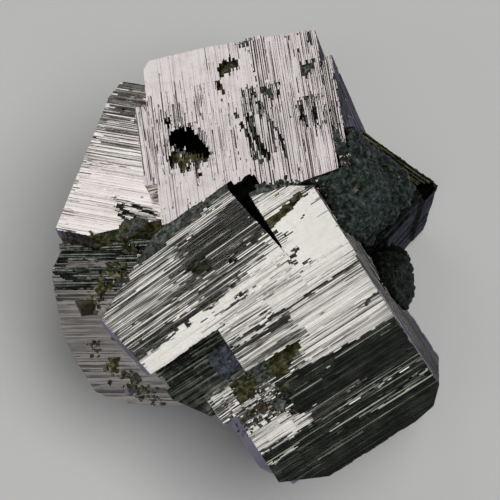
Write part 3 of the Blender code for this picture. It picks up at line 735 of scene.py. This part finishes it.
def sheet_arrays(surface, level, sign, first):
    """Corners (across, along, height) of a relief, and its faces, facing up for sign 1."""
    rows, columns, depth, finish = surface
    u, v = np.meshgrid(rows, columns, indexing="ij")
    corners = np.stack((u, v, level - sign * depth), axis=-1).reshape(-1, 3)
    index = np.arange(len(corners)).reshape(u.shape) + first
    faces = np.stack((index[:-1, :-1], index[1:, :-1], index[1:, 1:], index[:-1, 1:]),
                     axis=-1).reshape(-1, 4)
    if sign < 0:
        faces = faces[:, ::-1]
    return corners, faces.tolist(), index, finish.ravel()


def slab_mesh(top, bottom, high, low, basis, grain_axis):
    """A slab between two reliefs, closed by flat sides. basis turns (across, along, height) to x, y, z."""
    above, faces, i, upper_finish = sheet_arrays(top, high, 1, 0)
    below, more, j, lower_finish = sheet_arrays(bottom, low, -1, len(above))
    faces += more
    faces.append([*i[0, :], *j[0, ::-1]])
    faces.append([*i[-1, ::-1], *j[-1, :]])
    faces.append([*i[::-1, 0], *j[:, 0]])
    faces.append([*i[:, -1], *j[::-1, -1]])
    mesh = bpy.data.meshes.new("slab")
    corners = np.concatenate((above, below)) @ np.array(basis).T
    mesh.from_pydata(corners.tolist(), [], faces)
    wear_finishes(mesh)
    finishes = np.concatenate((upper_finish, lower_finish, np.zeros(4, int)))
    mesh.polygons.foreach_set("material_index", slot_number(finishes, grain_axis))
    mesh.update()
    checked = bmesh.new()
    checked.from_mesh(mesh)
    bmesh.ops.recalc_face_normals(checked, faces=checked.faces)
    checked.to_mesh(mesh)
    checked.free()
    return mesh


def slot_number(finish, grain_axis):
    """Each finish has three materials, one for each way that the striations run."""
    return finish * 3 + grain_axis


def wear_finishes(mesh):
    """Gives a mesh every material of the pyrite, so that its faces keep theirs when it is cut."""
    for finish in sorted(FINISHES):
        for axis in "xyz":
            mesh.materials.append(bpy.data.materials[FINISHES[finish].name + "_" + axis])


def inside(outline, x, y):
    """Which of the places lie inside an outline."""
    crossed = np.zeros(x.shape, bool)
    for (x1, y1), (x2, y2) in zip(outline, outline[1:] + outline[:1]):
        if y1 != y2:
            spans = (y1 > y) != (y2 > y)
            crossed ^= spans & (x < (x2 - x1) * (y - y1) / (y2 - y1) + x1)
    return crossed


def best_face(crystal):
    """Finds the patch at a place on the crystal's best face, with ragged borders."""
    data = CRYSTALS[crystal]
    patches = (data.face, *PATCHES[crystal])
    ticks = np.arange(-MAP_REACH, MAP_REACH, MAP_CELL)
    places = np.meshgrid(ticks, ticks, indexing="ij")
    found = np.zeros(places[0].shape, int)
    for number, patch in enumerate(patches[1:], 1):
        found[inside(patch.outline, *places)] = number
    last = len(ticks) - 1

    def patch_near(x, y):
        wander_off = noise.noise_vector((x / RAGGED_WAVE, y / RAGGED_WAVE, 0)) * RAGGED
        i = int((x + wander_off.x + MAP_REACH) / MAP_CELL)
        j = int((y + wander_off.y + MAP_REACH) / MAP_CELL)
        return patches[found[min(max(i, 0), last), min(max(j, 0), last)]]

    def patch_at(u, v, shift):
        ends = (v + shift * END_JITTER, v + shift * TONE_JITTER)
        near, further = (patch_near(end, u) if data.grain == "X" else patch_near(u, end) for end in ends)
        return further if near.rise == 0 and further.rise == 0 else near

    return patch_at


def striated_block(name):
    """A block whose three pairs of faces are striated at right angles to each other, as pyrite's are."""
    block = BLOCKS[name]
    crystal = CRYSTALS[block.crystal]
    rng = random.Random(name)
    reach = (block.x, block.y, block.z)
    order = 1 if crystal.grain == "X" else 2
    made = None

    def side(u, v, shift):
        return block.own or crystal.sides

    for along in range(3):
        across = (along + order) % 3
        height = (along + 2 * order) % 3
        best = height == 2
        spans = [(reach[axis][0] - MARGIN, reach[axis][1] + MARGIN) for axis in (across, along)]
        patches = best_face(block.crystal) if best and not block.own else side
        top = relief(*spans, FINE if best else MEDIUM, patches, crystal.sense, rng)
        bottom = relief(*spans, MEDIUM, side, crystal.sense, rng)
        basis = np.zeros((3, 3))
        for column, axis in enumerate((across, along, height)):
            basis[axis, column] = 1
        mesh = slab_mesh(top, bottom, reach[height][1], reach[height][0], basis, along)
        slab = link(bpy.data.objects.new(name, mesh))
        if made is None:
            made = slab
        else:
            combine(made, slab, "INTERSECT")
    made.data.transform(tilt_matrix(block))
    for cut in block.trims:
        trim(made, cut, block.z[1])
    return made


def tilt_matrix(block):
    middle = Vector([sum(reach) / 2 for reach in (block.x, block.y, block.z)])
    return Matrix.Translation(middle) @ turn_matrix(block.tilt) @ Matrix.Translation(-middle)


def trim(obj, cut, level):
    """Cuts away what lies to the left of the cut's line, which is drawn on the face at this level."""
    start, end = (Vector((*point, level)) for point in (cut.start, cut.end))
    along = end - start
    cutter = plain_box((-FAR, 0, -FAR), (FAR, FAR, FAR), slot_number(cut.finish, 0))
    heading = Matrix.Rotation(math.atan2(along.y, along.x), 4, "Z")
    lean = Matrix.Rotation(math.radians(cut.lean), 4, "X")
    cutter.data.transform(Matrix.Translation(start) @ heading @ lean)
    combine(obj, cutter, "DIFFERENCE")


def keep_own_axes(mesh):
    """Notes where each corner lies along the crystal's own axes, for the materials."""
    places = np.empty(3 * len(mesh.vertices), np.float32)
    mesh.vertices.foreach_get("co", places)
    mesh.attributes.new(OWN_PLACE, "FLOAT_VECTOR", "POINT").data.foreach_set("vector", places)


def crystal_piece(piece):
    """All the blocks of one piece joined, cut off at the floor and placed."""
    names = [name for name, block in BLOCKS.items() if block.piece == piece]
    crystal = BLOCKS[names[0]].crystal
    obj = striated_block(names[0])
    obj.name = piece
    for name in names[1:]:
        combine(obj, striated_block(name), "UNION")
    obj.data.transform(Matrix.Diagonal((MM, MM, MM, 1)))
    ground = plain_box((-FAR * MM,) * 2 + (-FAR * MM,), (FAR * MM, FAR * MM, 0))
    ground.data.transform(crystal_matrix(crystal).inverted())
    combine(obj, ground, "DIFFERENCE")
    obj.data.polygons.foreach_set("use_smooth", [False] * len(obj.data.polygons))
    keep_own_axes(obj.data)
    obj.data.transform(crystal_matrix(crystal))
    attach(obj, "root")
    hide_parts("pyrite_crystals")


# Small crystals

def bit(mesh, matrix, edge, finish, rng):
    """A small crystal with uneven, broken faces."""
    corners = bmesh.ops.create_cube(mesh, size=edge * MM)["verts"]
    for corner in corners:
        corner.co *= rng.uniform(1 - BIT_UNEVEN, 1 + BIT_UNEVEN)
        corner.co = matrix @ corner.co
    for face in {face for corner in corners for face in corner.link_faces}:
        face.material_index = slot_number(finish, 0)


def crumbs():
    """Small crystals grown on the large ones, and bits dropped onto the group from the viewer's side."""
    rng = random.Random("crumbs")
    mesh = bmesh.new()
    for crystal, place, edge, turn, finish in BUDS:
        seat = crystal_matrix(crystal) @ Matrix.Translation(Vector(place) * MM)
        bit(mesh, seat @ turn_matrix(turn), edge, finish, rng)
    scene = bpy.context.scene
    graph = bpy.context.evaluated_depsgraph_get()
    ahead = (lean_matrix().to_3x3() @ Vector((0, 0, -1))).normalized()
    for group in CRUMBS:
        for _ in range(group.count):
            share = rng.random()
            spread = group.scatter / 2
            x, y = (a + (b - a) * share + rng.gauss(0, spread) for a, b in zip(group.start, group.end))
            above = lean_matrix() @ Vector((x * MM, y * MM, DROP_HEIGHT))
            hit, place = scene.ray_cast(graph, above, ahead)[:2]
            if hit and place.z > FLOOR_SKIN * MM:
                turn = turn_matrix([rng.uniform(0, 90) for _ in range(3)])
                shape = Matrix.Diagonal((rng.uniform(*CRUMB_SHAPE), rng.uniform(*CRUMB_SHAPE), 1, 1))
                finish = rng.choice(group.finishes)
                bit(mesh, Matrix.Translation(place) @ turn @ shape, rng.uniform(*group.edge), finish, rng)
    data = bpy.data.meshes.new("pyrite_crumbs")
    wear_finishes(data)
    mesh.to_mesh(data)
    mesh.free()
    keep_own_axes(data)
    obj = link(bpy.data.objects.new("pyrite_crumbs", data))
    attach(obj, "root")
    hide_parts("pyrite_crystals")


# Rock

def rock_height(place):
    """How far the rock's grains stand out at a place, in millimetres."""
    height = sum(size * noise.noise(place / wave + Vector((wave, 0, 0))) for wave, size in ROCK_WAVES)
    for wave, size in ROCK_GRAINS:
        near, further = noise.voronoi(place / wave)[0][:2]
        height += size * (min(further - near, GRAIN_CREST) - GRAIN_CREST / 2)
    return height


def cut_back(mesh, place, direction):
    """Cuts off the rock beyond a plane, which is given in picture axes."""
    lump = bmesh.new()
    lump.from_mesh(mesh)
    bmesh.ops.remove_doubles(lump, verts=lump.verts, dist=WELD * MM)
    level = lean_matrix() @ (Vector(place) * MM)
    outward = lean_matrix().to_3x3() @ Vector(direction)
    parts = [*lump.verts, *lump.edges, *lump.faces]
    bmesh.ops.bisect_plane(lump, geom=parts, plane_co=level, plane_no=outward, clear_outer=True)
    bmesh.ops.holes_fill(lump, edges=[edge for edge in lump.edges if edge.is_boundary])
    lump.to_mesh(mesh)
    lump.free()


def rock_piece(name, material):
    """The CAD lump grown against its neighbours, with a granular, broken surface."""
    obj = link(bpy.data.objects.new(name + "_grains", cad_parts[name].data.copy()))
    if name in ROCK_CUTS:
        cut_back(obj.data, *ROCK_CUTS[name])
    remesh = obj.modifiers.new("grain", "REMESH")
    remesh.mode = "VOXEL"
    remesh.voxel_size = ROCK_CELL * MM
    mesh = evaluated_mesh(obj)
    obj.modifiers.clear()
    obj.data = mesh
    normals = [vert.normal.copy() for vert in mesh.vertices]
    for vert, normal in zip(mesh.vertices, normals):
        place = vert.co / MM
        share = min(max((place.z - FLOOR_SKIN) / FLOOR_SKIN, 0), 1)
        vert.co += normal * (ROCK_OVERLAP + rock_height(place)) * share * MM
    mesh.materials.clear()
    mesh.materials.append(material)
    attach(obj, "root")
    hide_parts(name)


# Materials

def new_material(name):
    material = bpy.data.materials.new(name)
    material.use_nodes = True
    tree = material.node_tree
    return material, tree, tree.nodes["Principled BSDF"]


def node(tree, kind, **values):
    made = tree.nodes.new(kind)
    for key, value in values.items():
        setattr(made, key, value)
    return made


def noise_node(tree, vector, scale, detail=3.0, roughness=0.55):
    made = node(tree, "ShaderNodeTexNoise")
    made.inputs["Scale"].default_value = scale
    made.inputs["Detail"].default_value = detail
    made.inputs["Roughness"].default_value = roughness
    tree.links.new(vector, made.inputs["Vector"])
    return made.outputs["Fac"]


def ramp_node(tree, value, stops):
    made = node(tree, "ShaderNodeValToRGB")
    ramp = made.color_ramp
    while len(ramp.elements) < len(stops):
        ramp.elements.new(0.5)
    for element, (at, colour) in zip(ramp.elements, stops):
        element.position = at
        element.color = (*colour, 1)
    tree.links.new(value, made.inputs["Fac"])
    return made.outputs["Color"]


def striation_height(tree, place, grain_axis):
    """Fine lines along the striations, finer than the modelled ones."""
    stretch = node(tree, "ShaderNodeMapping")
    scale = [LINE_FREQUENCY] * 3
    scale[grain_axis] = LINE_FREQUENCY / LINE_STRETCH
    stretch.inputs["Scale"].default_value = scale
    tree.links.new(place, stretch.inputs["Vector"])
    return noise_node(tree, stretch.outputs["Vector"], 1.0, 2.0)


def pyrite_material(finish, grain_axis):
    """Metal with fine lines along the striations and a slight change of colour from place to place."""
    look = FINISHES[finish]
    material, tree, shader = new_material(look.name + "_" + "xyz"[grain_axis])
    shader.inputs["Metallic"].default_value = look.metallic
    shader.inputs["Specular IOR Level"].default_value = COATING_SPECULAR
    place = node(tree, "ShaderNodeAttribute", attribute_name=OWN_PLACE).outputs["Vector"]
    broad = noise_node(tree, place, look.grains, detail=5, roughness=0.6)
    colour = ramp_node(tree, broad, tuple(zip(PYRITE_STOPS, look.colours)))
    tree.links.new(colour, shader.inputs["Base Color"])
    lines = striation_height(tree, place, grain_axis)
    rough = node(tree, "ShaderNodeMapRange")
    rough.inputs["From Min"].default_value = 0.3
    rough.inputs["From Max"].default_value = 0.7
    rough.inputs["To Min"].default_value = look.roughness[0]
    rough.inputs["To Max"].default_value = look.roughness[1]
    tree.links.new(broad, rough.inputs["Value"])
    tree.links.new(rough.outputs["Result"], shader.inputs["Roughness"])
    bump = node(tree, "ShaderNodeBump")
    bump.inputs["Strength"].default_value = look.bump
    bump.inputs["Distance"].default_value = look.coarse or LINE_HEIGHT
    tree.links.new(broad if look.coarse else lines, bump.inputs["Height"])
    tree.links.new(bump.outputs["Normal"], shader.inputs["Normal"])
    return material


def rock_material(rock):
    material, tree, shader = new_material(rock.name)
    place = node(tree, "ShaderNodeTexCoord").outputs["Object"]
    broad = noise_node(tree, place, rock.grains, detail=8, roughness=0.78)
    colour = ramp_node(tree, broad, tuple(zip(ROCK_STOPS, rock.colours)))
    tree.links.new(colour, shader.inputs["Base Color"])
    shader.inputs["Roughness"].default_value = ROCK_ROUGHNESS
    fine = noise_node(tree, place, ROCK_BUMP_GRAINS, detail=4)
    bump = node(tree, "ShaderNodeBump")
    bump.inputs["Strength"].default_value = ROCK_BUMP
    bump.inputs["Distance"].default_value = ROCK_BUMP_HEIGHT
    tree.links.new(fine, bump.inputs["Height"])
    tree.links.new(bump.outputs["Normal"], shader.inputs["Normal"])
    return material


# Stage

def floor():
    mesh = bpy.data.meshes.new("floor")
    plane = bmesh.new()
    bmesh.ops.create_grid(plane, x_segments=1, y_segments=1, size=FLOOR_SIZE / 2)
    plane.to_mesh(mesh)
    plane.free()
    obj = link(bpy.data.objects.new("floor", mesh))
    material, tree, shader = new_material("pale_floor")
    shader.inputs["Base Color"].default_value = FLOOR_COLOUR
    shader.inputs["Roughness"].default_value = FLOOR_ROUGHNESS
    mesh.materials.append(material)
    obj.visible_glossy = False
    return obj


def softbox(light):
    """A square area light that faces the group."""
    lamp = bpy.data.lights.new(light.name, "AREA")
    lamp.shape = "SQUARE"
    lamp.size = light.size
    lamp.energy = light.radiance * light.size ** 2 * math.pi
    lamp.color = light.colour
    obj = link(bpy.data.objects.new(light.name, lamp))
    target = lean_matrix() @ Vector((0, 0, 0))
    place = lean_matrix() @ (Vector(light.direction).normalized() * light.distance)
    obj.matrix_world = Matrix.Translation(place) @ (place - target).to_track_quat("Z",
                                                                                  "Y").to_matrix().to_4x4()
    return obj


def room():
    """A dim world, lightest around and below the group."""
    world = bpy.data.worlds.new("dim_room")
    world.use_nodes = True
    tree = world.node_tree
    split_axes = node(tree, "ShaderNodeSeparateXYZ")
    tree.links.new(node(tree, "ShaderNodeTexCoord").outputs["Generated"], split_axes.inputs["Vector"])
    colour = ramp_node(tree, split_axes.outputs["Z"], ROOM_TONES)
    tree.links.new(colour, tree.nodes["Background"].inputs["Color"])
    bpy.context.scene.world = world


def lights(ground):
    for light in LIGHTS:
        softbox(light)
    floor_light = softbox(FLOOR_LIGHT)
    receivers = bpy.data.collections.new("floor only")
    receivers.objects.link(ground)
    floor_light.light_linking.receiver_collection = receivers
    room()


def camera():
    data = bpy.data.cameras.new("camera")
    data.sensor_width = SENSOR
    data.lens = LENS
    data.clip_start = NEAREST
    obj = link(bpy.data.objects.new("camera", data))
    obj.matrix_world = lean_matrix() @ Matrix.Translation((0, 0, CAMERA_DISTANCE * MM))
    bpy.context.scene.camera = obj


def main():
    noise.seed_set(RAGGED_SEED)
    camera()
    for finish in FINISHES:
        for axis in range(3):
            pyrite_material(finish, axis)
    for piece in sorted({block.piece for block in BLOCKS.values()}):
        crystal_piece(piece)
    stones = {rock: rock_material(rock) for rock in dict.fromkeys(ROCKS.values())}
    for name, rock in ROCKS.items():
        rock_piece(name, stones[rock])
    crumbs()
    lights(floor())
    bpy.context.scene.view_settings.view_transform = "Standard"


main()
